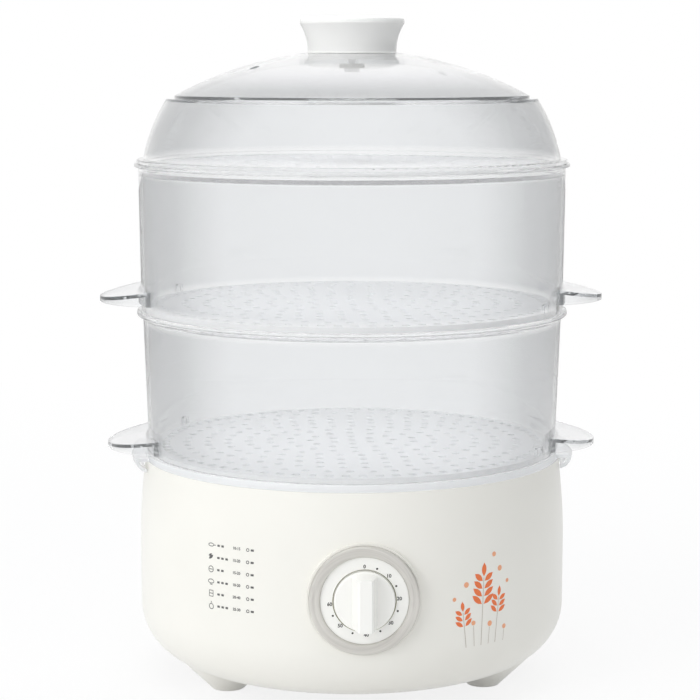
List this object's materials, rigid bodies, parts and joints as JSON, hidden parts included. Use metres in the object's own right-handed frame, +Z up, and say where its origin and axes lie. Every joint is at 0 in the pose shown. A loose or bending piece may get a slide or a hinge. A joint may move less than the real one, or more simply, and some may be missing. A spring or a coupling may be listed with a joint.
{
  "type": "electric food steamer",
  "caption": "Round electric food steamer: white base with water tank, heater and dial timer, under stacked clear baskets with a domed clear lid.",
  "frame": {"origin": "on the vertical axis of the base and the stack, at the height of the table under the rubber feet", "axes": "+Z up; the front with the timer dial faces -Y; +Y points out of the back, where the mains cord enters; the basket handles lie along X"},
  "size_m": [0.2798, 0.2585, 0.3662],
  "materials": {
    "housing_white": "satin moulded polypropylene, warm white",
    "pad_rubber": "matte",
    "screw_steel": "plated, satin",
    "tank_white": "satin moulded polypropylene",
    "seal_silicone": "matte silicone",
    "heater_aluminium": "cast, satin",
    "element_steel": "drawn steel sheath",
    "thermostat_ceramic": "glazed body with steel blades, shown as one colour",
    "spring_steel": "spring strip",
    "fuse_ceramic": "ceramic sleeve",
    "ring_white": "satin",
    "bezel_silver": "satin silver paint",
    "dial_white": "glossy, printed minutes",
    "timer_steel": "zinc-plated sheet",
    "bell_brass": "pressed",
    "shaft_steel": "turned",
    "knob_white": "glossy",
    "gland_white": "moulded nylon",
    "block_plastic": "moulded",
    "wire_jacket": "insulation; the pictures colour each wire",
    "clear_tray": "clear, polished",
    "clear_basket": "clear, polished",
    "floor_milky": "milky clear, polished",
    "clear_lid": "clear, polished",
    "lid_knob_white": "satin",
    "washer_silicone": "matte silicone"
  },
  "bodies": {
    "base": {"base_housing": "housing_white", "foot_pads": "pad_rubber", "bottom_cover": "housing_white", "cover_screws": "screw_steel", "water_tank": "tank_white", "heater_seal": "seal_silicone", "heating_plate": "heater_aluminium", "heating_element": "element_steel", "heater_screws": "screw_steel", "thermostat": "thermostat_ceramic", "thermostat_clip": "spring_steel", "thermal_fuse": "fuse_ceramic", "timer_bezel": "bezel_silver", "dial_plate": "dial_white", "timer_body": "timer_steel", "timer_bell": "bell_brass", "timer_screws": "screw_steel", "cord_gland": "gland_white", "gland_nut": "gland_white", "terminal_block": "block_plastic", "wiring": "wire_jacket"},
    "knob": {"timer_knob": "knob_white", "timer_shaft": "shaft_steel"},
    "ring": {"steam_ring": "ring_white"},
    "tray": {"drip_tray": "clear_tray"},
    "lower": {"lower_basket": "clear_basket", "lower_floor": "floor_milky"},
    "upper": {"upper_basket": "clear_basket", "upper_floor": "floor_milky"},
    "plate": {"top_plate": "floor_milky"},
    "cover": {"lid": "clear_lid", "lid_knob": "lid_knob_white", "knob_screw": "screw_steel", "knob_washer": "washer_silicone"}
  },
  "joints": [
    {"name": "timer_turn", "type": "hinge", "parent": "base", "child": "knob", "pos_m": [0, -0.12, 0.0685], "axis": [0, 1, 0], "range_deg": [0, 265]},
    {"name": "steam_ring_lift", "type": "slide", "parent": "base", "child": "ring", "axis": [0, 0, 1], "range_m": [0, 0.009]},
    {"name": "drip_tray_lift", "type": "slide", "parent": "base", "child": "tray", "axis": [0, 0, 1], "range_m": [0, 0.08]},
    {"name": "lower_basket_lift", "type": "slide", "parent": "tray", "child": "lower", "axis": [0, 0, 1], "range_m": [0, 0.1]},
    {"name": "upper_basket_lift", "type": "slide", "parent": "lower", "child": "upper", "axis": [0, 0, 1], "range_m": [0, 0.1]},
    {"name": "top_plate_lift", "type": "slide", "parent": "upper", "child": "plate", "axis": [0, 0, 1], "range_m": [0, 0.08]},
    {"name": "lid_lift", "type": "slide", "parent": "plate", "child": "cover", "axis": [0, 0, 1], "range_m": [0, 0.12]}
  ]
}
